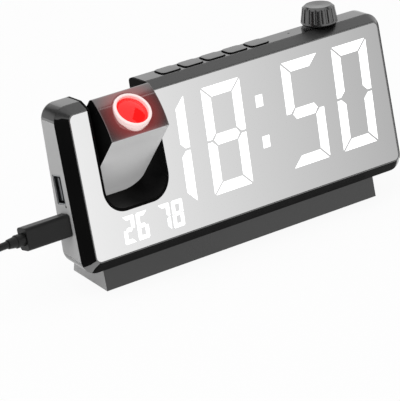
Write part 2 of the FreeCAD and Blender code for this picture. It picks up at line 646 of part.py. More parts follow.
# Projector head: two shells, drawn round the pivot with the lens end up
def head_solid(inset):
    """The head as a solid: flat front and back, a crowned lens end and a round tail."""
    half = HEAD_THICK / 2 - inset
    tail = HEAD_TAIL - inset
    corner_back = V(0, half, HEAD_CROWN - inset - 2.4)
    round_mid = V(0, half - 0.75, HEAD_CROWN - inset - 0.6)
    crown_back = V(0, half - 2.4, HEAD_CROWN - inset)
    crease = V(0, -half, HEAD_SIDE - inset)
    crown_mid = V(0, -1.5, (HEAD_SIDE + HEAD_CROWN) / 2 + 1.3 - inset)
    edges = [Part.makeLine(V(0, -half, -tail), crease), Part.Arc(crease, crown_mid, crown_back).toShape(),
             Part.Arc(crown_back, round_mid, corner_back).toShape(),
             Part.makeLine(corner_back, V(0, half, -tail)), Part.makeLine(V(0, half, -tail), V(0, -half,
                                                                                               -tail))]
    prism = Part.Face(Part.Wire(edges)).extrude(V(HEAD_WIDTH - 2 * inset, 0, 0))
    prism.translate(V(-HEAD_WIDTH / 2 + inset, 0, 0))
    tail_round = wheel(tail, HEAD_WIDTH - 2 * inset, HEAD_CORNER - inset)
    above = box(-HEAD_WIDTH / 2, HEAD_WIDTH / 2, -HEAD_THICK, HEAD_THICK, 0, 2 * HEAD_CROWN)
    return prism.common(tail_round.fuse(above))


head_shell = head_solid(0).cut(head_solid(HEAD_WALL))
lens_bore = cylinder(V(0, RING_OFFSET, 10), AXIS_Z, RING_BORE + 0.4, 30)
ring_seat = HEAD_CROWN - RING_GAP - 2.6
counter = cylinder(V(0, RING_OFFSET, ring_seat), AXIS_Z, RING_RADIUS + RING_GAP, 10)
barrel_wall = cylinder(V(0, RING_OFFSET, ring_seat - 4), AXIS_Z, RING_RADIUS + 1.6, 6.5).common(head_solid(0))
head_shell = fused([head_shell, barrel_wall]).cut(lens_bore).cut(counter)
pin_hole = cylinder(V(-HEAD_WIDTH, 0, 0), AXIS_X, PIN_RADIUS, 2 * HEAD_WIDTH)
head_shell = head_shell.cut(pin_hole)
front_half = box(-HEAD_WIDTH, HEAD_WIDTH, -HEAD_THICK, HEAD_SPLIT, -2 * HEAD_TAIL, 2 * HEAD_TAIL)
rear_half = box(-HEAD_WIDTH, HEAD_WIDTH, HEAD_SPLIT, HEAD_THICK, -2 * HEAD_TAIL, 2 * HEAD_TAIL)
save("projector_front_shell", with_head(head_shell.common(front_half)))
save("projector_rear_shell", with_head(head_shell.common(rear_half)))


def pivot_pin(way):
    """A turned pin with a collar inside the head; it runs in the bay's bush."""
    reach = BAY_WIDTH / 2 + BAY_WALL + BUSH_FLANGE + PIN_END
    inner = HEAD_WIDTH / 2 - HEAD_WALL - 1.0
    stub = cylinder(V(way * inner, 0, 0), V(way, 0, 0), PIN_RADIUS, reach - inner)
    collar_disc = cylinder(V(way * inner, 0, 0), V(way, 0, 0), PIN_RADIUS + 1.2, 1.0)
    return fused([stub, collar_disc])


save("pivot_pin_left", with_head(pivot_pin(-1)))
save("pivot_pin_right", with_head(pivot_pin(1)))

# Projector works: lamp board, image slide, focus ring and lens
WORKS_TOP = ring_seat - 4.0
works_wide = HEAD_WIDTH - 2 * HEAD_WALL - 8
lamp_z = -18.0
lamp = fused([box(-works_wide / 2, works_wide / 2, -HEAD_THICK / 2 + HEAD_WALL + 0.05, 8.0, lamp_z,
                  lamp_z + 1.6),
              box(-3, 3, RING_OFFSET - 3, RING_OFFSET + 3, lamp_z + 1.6, lamp_z + 3.4)])
save("projector_lamp", with_head(lamp))
carrier = box(-works_wide / 2, works_wide / 2, -HEAD_THICK / 2 + HEAD_WALL + 0.05, 8.0, WORKS_TOP - 6,
              WORKS_TOP - 4)
carrier = carrier.cut(box(-6, 6, RING_OFFSET - 5, RING_OFFSET + 5, WORKS_TOP - 7, WORKS_TOP - 3))
save("slide_carrier", with_head(carrier))
save("image_slide", with_head(box(-5.9, 5.9, RING_OFFSET - 4.9, RING_OFFSET + 4.9, WORKS_TOP - 5.4,
                                  WORKS_TOP - 4.6)))
ring_top = HEAD_CROWN + RING_PROUD - 1.6
focus = ring(V(0, RING_OFFSET, ring_seat + RING_GAP), AXIS_Z, RING_RADIUS, RING_BORE - 0.9,
             ring_top - ring_seat - RING_GAP)
rim_edges = [e for e in focus.Edges if abs(e.CenterOfMass.z - ring_top) < 1e-6]
focus = focus.makeFillet(0.7, rim_edges)
skirt = ring(V(0, RING_OFFSET, ring_seat - 4), AXIS_Z, RING_BORE + 0.1, RING_BORE - 0.9, 4.5)
save("focus_ring", with_head(fused([focus, skirt])))
lens_radius = RING_BORE - 0.9
dome_r = (lens_radius ** 2 + LENS_DOME ** 2) / (2 * LENS_DOME)
lens_rim = ring_top - LENS_DOME - 0.1
dome = Part.makeSphere(dome_r, V(0, RING_OFFSET, lens_rim + LENS_DOME - dome_r))
lens = dome.common(cylinder(V(0, RING_OFFSET, lens_rim - 2.4), AXIS_Z, lens_radius, 12))
save("projector_lens", with_head(lens))

# Stand: a hollow foot with ribs, rubber pads and two screws
stand_top = MIRROR_FOOT_RISE - BEVEL_DROP * math.cos(math.radians(LEAN)) - BEVEL_DEPTH * math.sin(
    math.radians(LEAN)) - 0.02
stand_tilt = math.tan(math.radians(STAND_LEAN))
back_of_case = front_y - MIRROR_FOOT_BACK + CASE_DEPTH_LOW * math.cos(math.radians(LEAN)) + 0.6
half_stand = STAND_LENGTH / 2


def stand_profile(inset, floor):
    """The stand's end view: leaning front, flat seat under the case, low tail behind."""
    f = inset / math.cos(math.radians(STAND_LEAN))
    return [(front_y + f + floor * stand_tilt, floor), (front_y + f + (stand_top - inset) * stand_tilt,
            stand_top - inset), (back_of_case - inset, stand_top - inset),
            (back_of_case + 3.0 - inset, STAND_TAIL_HEIGHT + 2.0 - inset),
            (STAND_DEPTH / 2 - inset - 0.6, STAND_TAIL_HEIGHT - inset), (STAND_DEPTH / 2 - inset, floor)]


stand = profile(stand_profile(0, PAD_PROUD), -half_stand, half_stand)
long_edges = [e for e in stand.Edges
              if abs(e.Length - STAND_LENGTH) < 0.01 and e.CenterOfMass.z > PAD_PROUD + 1
              and e.CenterOfMass.y > 0]
stand = stand.makeFillet(STAND_ROUND, long_edges)
stand = stand.cut(profile(stand_profile(STAND_WALL, PAD_PROUD - 1), -half_stand + STAND_WALL,
                          half_stand - STAND_WALL))
ribs = []
RIB_COUNT = 5
for i in range(RIB_COUNT):
    x = (i - (RIB_COUNT - 1) / 2) * STAND_LENGTH / (RIB_COUNT + 1)
    ribs.append(profile(stand_profile(STAND_WALL / 2, PAD_PROUD + 1.2), x - 0.8, x + 0.8))
pad_x = half_stand - 10.0
pad_spots = [(sx * pad_x, y) for sx in (-1, 1) for y in (front_y + 7.0, STAND_DEPTH / 2 - 7.0)]
pad_spots.append((0.0, 0.0))
cups = [cylinder(V(px, py, PAD_PROUD), AXIS_Z, PAD_RADIUS + 1.4, 4.0) for px, py in pad_spots]
screw_y = front_y - MIRROR_FOOT_BACK + post_y * math.cos(math.radians(LEAN)) + (
    case_low_front + (post_y - BEVEL_DEPTH) * bottom_slope) * math.sin(math.radians(LEAN))
towers = [cylinder(V(sx * STAND_SCREW_X, screw_y, PAD_PROUD + 1), AXIS_Z, 3.9, stand_top - PAD_PROUD - 1.5)
          for sx in (-1, 1)]
stand = fused([stand] + ribs + [c.common(profile(stand_profile(0.5, PAD_PROUD), -half_stand, half_stand))
                                for c in cups] + towers)
for px, py in pad_spots:
    stand = stand.cut(cylinder(V(px, py, 0), AXIS_Z, PAD_RADIUS + 0.1, PAD_THICK))
for sx in (-1, 1):
    stand = stand.cut(cylinder(V(sx * STAND_SCREW_X, screw_y, 0), AXIS_Z, 2.8, stand_top - 3.0))
    stand = stand.cut(cylinder(V(sx * STAND_SCREW_X, screw_y, 0), AXIS_Z, 1.3, 30))
save("stand", stand, leaning=False)
pads = [cylinder(V(px, py, 0), AXIS_Z, PAD_RADIUS, PAD_THICK - 0.02) for px, py in pad_spots]
save("stand_pads", Part.makeCompound(pads), leaning=False)
stand_screws = []
for sx in (-1, 1):
    head_z = stand_top - 3.0
    head = cylinder(V(sx * STAND_SCREW_X, screw_y, head_z - 2.0), AXIS_Z, 2.6, 2.0)
    shank = cylinder(V(sx * STAND_SCREW_X, screw_y, head_z), AXIS_Z, 0.97, 8.0)
    notch = box(sx * STAND_SCREW_X - 3, sx * STAND_SCREW_X + 3, screw_y - 0.35, screw_y + 0.35, head_z - 3,
                head_z - 1.2)
    stand_screws.append(fused([head, shank]).cut(notch))
save("stand_screws", Part.makeCompound(stand_screws), leaning=False)


# Power lead: moulded plug, strain relief, cord, coil and far plug
def case_point(x, y, z):
    """A point of the upright case, tipped back with it."""
    return lean_back(Part.Vertex(x, y, z)).Point


plug_face = end_x - 0.3
plug_far = plug_face - PLUG_LENGTH
body = box(plug_far, plug_face, POWER_DEPTH - PLUG_WIDE / 2, POWER_DEPTH + PLUG_WIDE / 2,
           POWER_HEIGHT - PLUG_TALL / 2, POWER_HEIGHT + PLUG_TALL / 2)
long_plug = [e for e in body.Edges if abs(e.Length - PLUG_LENGTH) < 0.01]
body = body.makeFillet(1.6, long_plug)
nose = box(plug_face, end_x + 6.0, POWER_DEPTH - 1.2, POWER_DEPTH + 1.2, POWER_HEIGHT - 4.1,
           POWER_HEIGHT + 4.1)
save("power_plug", fused([body, nose]))
step_far = plug_far - RELIEF_LENGTH / 2
relief_far = plug_far - RELIEF_LENGTH
relief_mid = V(step_far, POWER_DEPTH, POWER_HEIGHT)
relief = fused([cylinder(relief_mid, AXIS_X, RELIEF_RADIUS, RELIEF_LENGTH / 2),
                Part.makeCone(CORD_RADIUS + 0.5, RELIEF_RADIUS - 0.4, RELIEF_LENGTH / 2,
                              V(relief_far, POWER_DEPTH, POWER_HEIGHT), AXIS_X)])
save("plug_strain_relief", relief)

exit_point = case_point(relief_far, POWER_DEPTH, POWER_HEIGHT)
coil_x, coil_y = COIL_CENTRE
coil_out = COIL_MEAN_RADIUS + COIL_TURNS_WIDE * CORD_RADIUS
coil_in = COIL_MEAN_RADIUS - COIL_TURNS_WIDE * CORD_RADIUS
coil_high = 2 * CORD_RADIUS * COIL_TURNS_HIGH
cord_drop = exit_point.z - CORD_RADIUS - 0.25
cord_run = exit_point.x - coil_x - 2
cord_shift = coil_y - coil_out + CORD_RADIUS - exit_point.y
cord_steps = [(0, 0, 0), (0.153, 0.5, 0.017), (0.307, 1.3, 0.105), (0.449, 1.7, 0.279), (0.58, 1.6, 0.523),
              (0.71, 1.2, 0.756), (0.852, 1.0, 0.93), (1, 1, 1)]
cord_points = [exit_point + V(-along * cord_run, aside * cord_shift, -down * cord_drop)
               for along, aside, down in cord_steps]


def cord_tube(points, radius):
    """A tube along straight runs joined by tangent arcs."""
    edges = []
    here = points[0]
    for i in range(1, len(points) - 1):
        a = points[i - 1] - points[i]
        b = points[i + 1] - points[i]
        shorter = min(a.Length, b.Length)
        turn = math.pi - a.getAngle(b)
        reach = 0.45 * shorter
        bend = reach / math.tan(turn / 2)
        print("cord bend radius", round(bend, 1))
        a.normalize()
        b.normalize()
        start = points[i] + a * reach
        end = points[i] + b * reach
        middle = a + b
        middle.normalize()
        centre = points[i] + middle * math.hypot(bend, reach)
        top = centre - middle * bend
        edges.append(Part.LineSegment(here, start).toShape())
        edges.append(Part.Arc(start, top, end).toShape())
        here = end
    edges.append(Part.LineSegment(here, points[-1]).toShape())
    path = Part.Wire(edges)
    first = points[1] - points[0]
    section = Part.Wire(Part.makeCircle(radius, points[0], first))
    tube = path.makePipeShell([section], True, False)
    print("cord length", round(path.Length, 1), "volume ratio",
          round(tube.Volume / (math.pi * radius ** 2 * path.Length), 4))
    return tube


coil_foot = V(coil_x, coil_y, 0.2)
coil = ring(coil_foot, AXIS_Z, coil_out, coil_in, coil_high)
save("power_cord", cord_tube(cord_points, CORD_RADIUS).cut(coil), leaning=False)

# The coil's free end runs straight out of its back into the far plug
TAIL_LENGTH = 21.0
GRIP_LENGTH = 24.0
GRIP_WIDE = 14.0
GRIP_HIGH = 7.6
SHELL_LENGTH = 12.0
SHELL_WIDE = 12.0
SHELL_HIGH = 4.5
tail_y = coil_y + coil_out - CORD_RADIUS
tail_z = 0.2 + GRIP_HIGH / 2
tail = cylinder(V(coil_x, tail_y, tail_z), AXIS_X, CORD_RADIUS, TAIL_LENGTH)
save("cord_coil", fused([coil, tail]), leaning=False)
far_x = coil_x + TAIL_LENGTH
grip = box(far_x, far_x + GRIP_LENGTH, tail_y - GRIP_WIDE / 2, tail_y + GRIP_WIDE / 2, 0.2, 0.2 + GRIP_HIGH)
grip = grip.makeFillet(1.8, [e for e in grip.Edges if abs(e.Length - GRIP_LENGTH) < 0.01])
shell_x = far_x + GRIP_LENGTH
shell = box(shell_x, shell_x + SHELL_LENGTH, tail_y - SHELL_WIDE / 2, tail_y + SHELL_WIDE / 2,
            tail_z - SHELL_HIGH / 2, tail_z + SHELL_HIGH / 2)
shell = shell.cut(box(shell_x + 1.5, shell_x + SHELL_LENGTH + 1, tail_y - SHELL_WIDE / 2 + 0.3,
                      tail_y + SHELL_WIDE / 2 - 0.3, tail_z + 0.1, tail_z + SHELL_HIGH / 2 - 0.3))
save("usb_plug", fused([grip, shell]), leaning=False)
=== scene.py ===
"""Looks for the projection alarm clock, laid over its CAD frame. Metres, in the frame's axes."""
import math

import bmesh
import bpy
import numpy as np
from mathutils import Matrix, Vector


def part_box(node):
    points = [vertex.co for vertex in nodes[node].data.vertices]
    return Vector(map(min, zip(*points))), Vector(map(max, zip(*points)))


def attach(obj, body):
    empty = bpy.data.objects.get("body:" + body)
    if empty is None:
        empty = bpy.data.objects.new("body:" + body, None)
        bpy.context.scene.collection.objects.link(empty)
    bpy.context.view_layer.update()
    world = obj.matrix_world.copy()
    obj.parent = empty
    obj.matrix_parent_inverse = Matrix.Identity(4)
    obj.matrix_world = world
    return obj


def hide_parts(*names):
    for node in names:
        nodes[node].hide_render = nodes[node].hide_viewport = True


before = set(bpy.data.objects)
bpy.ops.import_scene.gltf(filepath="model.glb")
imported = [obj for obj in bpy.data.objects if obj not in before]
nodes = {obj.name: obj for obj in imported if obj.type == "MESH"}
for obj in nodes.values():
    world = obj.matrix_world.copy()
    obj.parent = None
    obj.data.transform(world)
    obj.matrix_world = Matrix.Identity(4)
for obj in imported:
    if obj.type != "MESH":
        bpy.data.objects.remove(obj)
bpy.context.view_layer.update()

# Camera: a long lens 1.33 m away, 38 degrees to the left of the front and 27 degrees above the table.
# The lens is shifted, because the clock stands off the middle of the picture.
VIEW_LEFT = math.radians(38.15)
VIEW_UP = math.radians(26.92)
VIEW_DISTANCE = 1.32929
LOOK_AT = Vector((0.0, -0.014, 0.0))
towards_camera = Vector((-math.sin(VIEW_LEFT) * math.cos(VIEW_UP), -math.cos(VIEW_LEFT) * math.cos(VIEW_UP),
                         math.sin(VIEW_UP)))
camera_data = bpy.data.cameras.new("camera")
camera_data.sensor_width = 36.0
camera_data.lens = 242.1
camera_data.shift_x = -46.38 / 401
camera_data.shift_y = 42.30 / 401
camera = bpy.data.objects.new("camera", camera_data)
bpy.context.scene.collection.objects.link(camera)
camera_side = Vector((math.cos(VIEW_LEFT), -math.sin(VIEW_LEFT), 0.0))
camera_up = towards_camera.cross(camera_side)
turn = Matrix((camera_side, camera_up, towards_camera)).transposed().to_4x4()
camera.matrix_world = Matrix.Translation(LOOK_AT + towards_camera * VIEW_DISTANCE) @ turn
bpy.context.scene.camera = camera
bpy.context.scene.view_settings.view_transform = "Standard"


# Floor and light: a pale table top that shows white, an even pale room, one wide soft lamp overhead on
# the left, and black and grey flags at the left, back, top and corner, which darken only what polished
# faces mirror from there.
def linear(code):
    """An sRGB hex colour as linear red, green, blue and alpha."""
    parts = np.array([int(code[i:i + 2], 16) for i in (1, 3, 5)]) / 255
    curve = np.where(parts <= 0.04045, parts / 12.92, ((parts + 0.055) / 1.055) ** 2.4)
    return (*[float(v) for v in curve], 1.0)


def add_node(tree, kind, values=None, links=None, **settings):
    """Adds a node, sets its settings and input values, and links its inputs."""
    node = tree.nodes.new(kind)
    for name, value in settings.items():
        setattr(node, name, value)
    for name, value in (values or {}).items():
        node.inputs[name].default_value = value
    for name, source in (links or {}).items():
        tree.links.new(source, node.inputs[name])
    return node


def link_mesh(name, points, faces):
    """A mesh object at the origin from points in metres and face indices."""
    mesh = bpy.data.meshes.new(name)
    mesh.from_pydata(np.asarray(points).tolist(), [], np.asarray(faces).tolist())
    mesh.update()
    piece = bpy.data.objects.new(name, mesh)
    bpy.context.scene.collection.objects.link(piece)
    return piece


def seen_rays(tree):
    """1 for rays from the camera or from a mirror-like or clear surface, 0 for the rest."""
    path = add_node(tree, "ShaderNodeLightPath")
    first = add_node(tree, "ShaderNodeMath", links={0: path.outputs["Is Camera Ray"],
                                                    1: path.outputs["Is Glossy Ray"]}, operation="MAXIMUM")
    return add_node(tree, "ShaderNodeMath", links={0: first.outputs[0],
                                                   1: path.outputs["Is Transmission Ray"]}, operation="MAXIMUM")


floor = link_mesh("floor", [(-4, -4, 0), (4, -4, 0), (4, 4, 0), (-4, 4, 0)], [(0, 1, 2, 3)])
floor_paint = bpy.data.materials.new("pale_table_top")
floor_paint.use_nodes = True
tree = floor_paint.node_tree
shader = tree.nodes["Principled BSDF"]
shader.inputs["Base Color"].default_value = linear("#f2f2f2")
shader.inputs["Roughness"].default_value = 0.9
glow = add_node(tree, "ShaderNodeEmission", {"Color": linear("#ffffff"), "Strength": 1.0})
share = add_node(tree, "ShaderNodeMath", {1: 0.92}, {0: seen_rays(tree).outputs[0]}, operation="MULTIPLY")
blend = add_node(tree, "ShaderNodeMixShader", links={0: share.outputs[0], 1: shader.outputs[0],
                                                     2: glow.outputs[0]})
tree.links.new(blend.outputs[0], tree.nodes["Material Output"].inputs["Surface"])
floor.data.materials.append(floor_paint)

world = bpy.data.worlds.new("pale_room")
world.use_nodes = True
bpy.context.scene.world = world
tree = world.node_tree
room = tree.nodes["Background"]
room_colour = add_node(tree, "ShaderNodeMix", links={0: seen_rays(tree).outputs[0]}, data_type="RGBA")
room_colour.inputs[6].default_value = linear("#cfcfcf")
room_colour.inputs[7].default_value = linear("#ffffff")
tree.links.new(room_colour.outputs[2], room.inputs["Color"])
room.inputs["Strength"].default_value = 1.0

lamp_data = bpy.data.lights.new("soft_lamp", "AREA")
lamp_data.shape = "DISK"
lamp_data.size = 1.2
lamp_data.energy = 9.0
lamp = bpy.data.objects.new("soft_lamp", lamp_data)
lamp.visible_glossy = False
lamp.location = (-0.7, -0.2, 1.3)
lamp.rotation_euler = Vector((-0.7, -0.2, 1.3)).to_track_quat("Z", "Y").to_euler()
bpy.context.scene.collection.objects.link(lamp)


def flag(name, middle, facing, width, height, colour):
    """A card seen only in reflections: its middle, the way it faces, its width and its height."""
    out = Vector(facing).normalized()
    side = Vector((0, 0, 1)).cross(out).normalized()
    up = out.cross(side)
    centre = Vector(middle)
    corners = [centre + side * (a * width / 2) + up * (b * height / 2)
               for a, b in ((-1, -1), (1, -1), (1, 1), (-1, 1))]
    card = link_mesh(name, [tuple(c) for c in corners], [(0, 1, 2, 3)])
    paint = bpy.data.materials.new(name)
    paint.use_nodes = True
    tree = paint.node_tree
    tone = add_node(tree, "ShaderNodeEmission", {"Color": linear(colour), "Strength": 1.0})
    tree.links.new(tone.outputs[0], tree.nodes["Material Output"].inputs["Surface"])
    card.data.materials.append(paint)
    card.visible_camera = False
    card.visible_diffuse = False
    card.visible_shadow = False
    card.visible_transmission = False


flag("black_flag_left", (-0.27, -0.19, 0.05), (0.8, 0.6, 0), 0.50, 0.24, "#050505")
flag("black_flag_back", (-0.54, 0.84, 0.66), (0.45, -0.70, -0.5), 1.0, 0.55, "#2a2a2a")
flag("grey_flag_top", (0.60, -0.42, 0.75), (-0.55, 0.4, -0.75), 0.9, 0.6, "#505050")
flag("grey_flag_corner", (-0.52, -0.02, 0.88), (0.51, 0, -0.86), 0.5, 0.5, "#404040")

# Power lead: a black PVC cord with a moulded plug in the case and a USB plug at its far end. It leaves
# the strain relief, sinks to the table and is put away in a flat coil of eight turns.
CORD_RADIUS = 0.0018
relief_low, relief_high = (np.array(corner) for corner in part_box("plug_strain_relief"))
cord_exit = np.array([relief_low[0], (relief_low[1] + relief_high[1]) / 2, (relief_low[2] + relief_high[2]) / 2])
COIL_MIDDLE = np.array([-0.222, 0.0215])
COIL_MEAN = 0.0198
COIL_ACROSS = 4
COIL_HIGH = 2
POINTS_PER_TURN = 14
route_steps = np.array([(0, 0, 0), (0.153, 0.5, 0.017), (0.307, 1.3, 0.105), (0.449, 1.7, 0.279),
                        (0.58, 1.6, 0.523), (0.71, 1.2, 0.756), (0.852, 1.0, 0.93), (1, 1, 1)])
coil_outer_line = COIL_MEAN + (COIL_ACROSS - 1) * CORD_RADIUS
route_reach = np.array([-(cord_exit[0] - COIL_MIDDLE[0] - 0.002),
                        COIL_MIDDLE[1] - coil_outer_line - cord_exit[1],
                        -(cord_exit[2] - CORD_RADIUS - 0.00025)])
route = cord_exit + route_steps * route_reach


def coil_line():
    """Turns lie a cord apart: the distance out shrinks by one cord a turn in the lower layer and grows
    by one a turn in the upper layer, and the height rises by one cord between them."""
    turns = COIL_ACROSS * COIL_HIGH
    u = np.arange(1, int((turns + 0.5) * POINTS_PER_TURN) + 1) / POINTS_PER_TURN
    pitch = 2 * CORD_RADIUS
    lower = np.clip(u, 0, COIL_ACROSS - 1)
    upper = np.clip(u - COIL_ACROSS - 0.5, 0, COIL_ACROSS - 1)
    out = coil_outer_line - pitch * lower + pitch * upper
    rise = pitch * np.clip(u - (COIL_ACROSS - 0.6), 0, 1)
    angle = -math.pi / 2 - 2 * math.pi * u
    return np.stack([COIL_MIDDLE[0] + out * np.cos(angle), COIL_MIDDLE[1] + out * np.sin(angle),
                     CORD_RADIUS + 0.00025 + rise], 1)


plug_low, plug_high = (np.array(corner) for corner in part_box("usb_plug"))
plug_back = np.array([plug_low[0], (plug_low[1] + plug_high[1]) / 2, (plug_low[2] + plug_high[2]) / 2])
coil = coil_line()
tail = np.array([plug_back + [-0.012, 0, 0.0014], plug_back + [-0.006, 0, 0.0003], plug_back + [0.0005, 0, 0]])
cord_points = np.concatenate([route, coil, tail])
lead = bpy.data.curves.new("power_lead", "CURVE")
lead.dimensions = "3D"
lead.bevel_depth = CORD_RADIUS
lead.bevel_resolution = 5
lead.resolution_u = 6
lead.use_fill_caps = True
spline = lead.splines.new("NURBS")
spline.points.add(len(cord_points) - 1)
spline.points.foreach_set("co", np.column_stack([cord_points, np.ones(len(cord_points))]).ravel())
spline.order_u = 3
spline.use_endpoint_u = True
power_lead = bpy.data.objects.new("power_lead", lead)
bpy.context.scene.collection.objects.link(power_lead)

# PVC: soft matte black with a faint sheen and a very fine grain from the extruder
pvc = bpy.data.materials.new("moulded_pvc")
pvc.use_nodes = True
tree = pvc.node_tree
shader = tree.nodes["Principled BSDF"]
shader.inputs["Roughness"].default_value = 0.42
shader.inputs["IOR"].default_value = 1.38
place = add_node(tree, "ShaderNodeTexCoord")
grain = add_node(tree, "ShaderNodeTexNoise", {"Scale": 1400.0, "Detail": 3.0}, {"Vector": place.outputs["Object"]})
patch = add_node(tree, "ShaderNodeTexNoise", {"Scale": 90.0}, {"Vector": place.outputs["Object"]})
tone = add_node(tree, "ShaderNodeMix", links={0: patch.outputs[0]}, data_type="RGBA")
tone.inputs[6].default_value = linear("#0e0e0e")
tone.inputs[7].default_value = linear("#161616")
tree.links.new(tone.outputs[2], shader.inputs["Base Color"])
soft_edge = add_node(tree, "ShaderNodeBevel", {"Radius": 0.0005}, samples=4)
bump = add_node(tree, "ShaderNodeBump", {"Strength": 0.12, "Distance": 0.0001},
                {"Height": grain.outputs[0], "Normal": soft_edge.outputs[0]})
tree.links.new(bump.outputs[0], shader.inputs["Normal"])


def dress(material, *names):
    """Gives a material to every slot of these CAD nodes."""
    for name in names:
        for held in nodes[name].material_slots:
            held.material = material


power_lead.data.materials.append(pvc)
dress(pvc, "power_plug", "plug_strain_relief", "usb_plug")
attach(power_lead, "case")
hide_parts("power_cord", "cord_coil")

# Case: bevelled front frame, tub, keys and battery door in moulded ABS with a polished finish. It looks
# black where it faces the dark and grey where it mirrors the table. The flat ends are painted light grey, a
# painted highlight of the side light; the lower and side bevels are painted black and the upper bevel, rounds
# and corners a duller black, as painted shade; the keys have painted pale tops and painted black sides.
LEAN = math.radians(16.4)
FOOT_Y = -0.014 - 0.0063
FOOT_Z = 0.0209


def case_place(across, up, back):
    """A place on the leaning case in metres: across it, up the mirror, and back from the mirror's face."""
    across, up, back = np.broadcast_arrays(np.asarray(across, float), up, back)
    return np.stack([across, FOOT_Y + back * math.cos(LEAN) + up * math.sin(LEAN),
                     FOOT_Z - back * math.sin(LEAN) + up * math.cos(LEAN)], -1)


def clouded_surface(name, dark, light, rough, gloss_index, edge):
    """A moulded or plated surface: a tone with a faint cloud, a gloss, and waves a few millimetres long."""
    material = bpy.data.materials.new(name)
    material.use_nodes = True
    tree = material.node_tree
    shader = tree.nodes["Principled BSDF"]
    shader.inputs["IOR"].default_value = gloss_index
    place = add_node(tree, "ShaderNodeTexCoord")
    cloud = add_node(tree, "ShaderNodeTexNoise", {"Scale": 45.0, "Detail": 4.0}, {"Vector": place.outputs["Object"]})
    tone = add_node(tree, "ShaderNodeMix", links={0: cloud.outputs[0]}, data_type="RGBA")
    tone.inputs[6].default_value = linear(dark)
    tone.inputs[7].default_value = linear(light)
    tree.links.new(tone.outputs[2], shader.inputs["Base Color"])
    haze = add_node(tree, "ShaderNodeMapRange", {"To Min": rough * 0.8, "To Max": rough * 1.25},
                    {"Value": cloud.outputs[0]})
    tree.links.new(haze.outputs[0], shader.inputs["Roughness"])
    wave = add_node(tree, "ShaderNodeTexNoise", {"Scale": 260.0, "Detail": 2.0}, {"Vector": place.outputs["Object"]})
    soft_edge = add_node(tree, "ShaderNodeBevel", {"Radius": edge}, samples=6)
    bump = add_node(tree, "ShaderNodeBump", {"Strength": 0.05, "Distance": 0.0001},
                    {"Height": wave.outputs[0], "Normal": soft_edge.outputs[0]})
    tree.links.new(bump.outputs[0], shader.inputs["Normal"])
    return material


def finish_node(name, material, body="case", crease=24, faced=()):
    """A merged copy of a CAD node's triangles, smooth across turns under the crease angle, stands for it.
    The faces that look within an angle of a given direction take that direction's own material, which paints
    the light or shade that falls on faces turned that way."""
    mesh = nodes[name].data.copy()
    mesh.name = name + "_finished"
    work = bmesh.new()
    work.from_mesh(mesh)
    bmesh.ops.remove_doubles(work, verts=work.verts, dist=2e-6)
    for edge in work.edges:
        edge.smooth = len(edge.link_faces) == 2 and edge.calc_face_angle() < math.radians(crease)
    for face in work.faces:
        face.smooth = True
    work.to_mesh(mesh)
    work.free()
    mesh.materials.clear()
    mesh.materials.append(material)
    normals = np.empty(3 * len(mesh.polygons))
    mesh.polygons.foreach_get("normal", normals)
    chosen = np.zeros(len(mesh.polygons), dtype=np.int32)
    for number, (direction, within, skin) in enumerate(faced, 1):
        mesh.materials.append(skin)
        chosen[normals.reshape(-1, 3) @ np.array(direction) > math.cos(math.radians(within))] = number
    mesh.polygons.foreach_set("material_index", chosen)
    piece = bpy.data.objects.new(name + "_finished", mesh)
    bpy.context.scene.collection.objects.link(piece)
    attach(piece, body)
    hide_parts(name)
    return piece


END_SPREAD = 12
BEVEL_SPREAD = 20
LEFT = np.array([-1, 0, 0])
RIGHT = np.array([1, 0, 0])
FRONT = np.array([0, -math.cos(LEAN), math.sin(LEAN)])
UP_CASE = np.array([0, math.sin(LEAN), math.cos(LEAN)])
LOWER_BEVEL = (FRONT - UP_CASE) / math.sqrt(2)
UPPER_BEVEL = (FRONT + UP_CASE) / math.sqrt(2)
LEFT_BEVEL = (FRONT + LEFT) / math.sqrt(2)
RIGHT_BEVEL = (FRONT + RIGHT) / math.sqrt(2)
UPPER_ROUNDS = [(LEFT + UP_CASE) / math.sqrt(2), (RIGHT + UP_CASE) / math.sqrt(2)]
UPPER_CORNERS = [(FRONT + LEFT + UP_CASE) / math.sqrt(3), (FRONT + RIGHT + UP_CASE) / math.sqrt(3)]
case_abs = clouded_surface("polished_black_abs", "#161616", "#1c1c1c", 0.13, 2.5, 0.0007)
# The grey ends, duller upper bevels, black lower and side bevels and pale key tops below are lit and shaded copies
# of the one black ABS: painted light and painted shade.
painted_light_end_abs = clouded_surface("painted_light_grey_end_abs", "#b0b0b0", "#b6b6b6", 0.4, 1.3, 0.0007)
painted_shade_trim_abs = clouded_surface("painted_shade_black_trim_abs", "#0a0a0a", "#0e0e0e", 0.5, 1.1, 0.0004)
painted_shade_upper_abs = clouded_surface("painted_shade_dull_bevel_abs", "#1c1c1c", "#222222", 0.3, 1.7, 0.0007)
painted_light_key_abs = clouded_surface("painted_light_key_top_abs", "#303030", "#363636", 0.2, 2.0, 0.0003)
painted_light_end_skins = [(LEFT, END_SPREAD, painted_light_end_abs), (RIGHT, END_SPREAD, painted_light_end_abs)]
finish_node("front_bezel", case_abs,
            faced=[(way, 25, painted_shade_upper_abs) for way in UPPER_ROUNDS + UPPER_CORNERS]
            + painted_light_end_skins + [(UPPER_BEVEL, BEVEL_SPREAD, painted_shade_upper_abs)]
            + [(way, BEVEL_SPREAD, painted_shade_trim_abs) for way in (LOWER_BEVEL, LEFT_BEVEL, RIGHT_BEVEL)])
finish_node("rear_housing", case_abs,
            faced=[(way, 30, painted_shade_upper_abs) for way in UPPER_ROUNDS] + painted_light_end_skins)
finish_node("battery_door", case_abs)
for number in range(1, 6):
    finish_node(f"key_{number}", painted_shade_trim_abs, f"key_{number}", faced=[(UP_CASE, 30, painted_light_key_abs)])

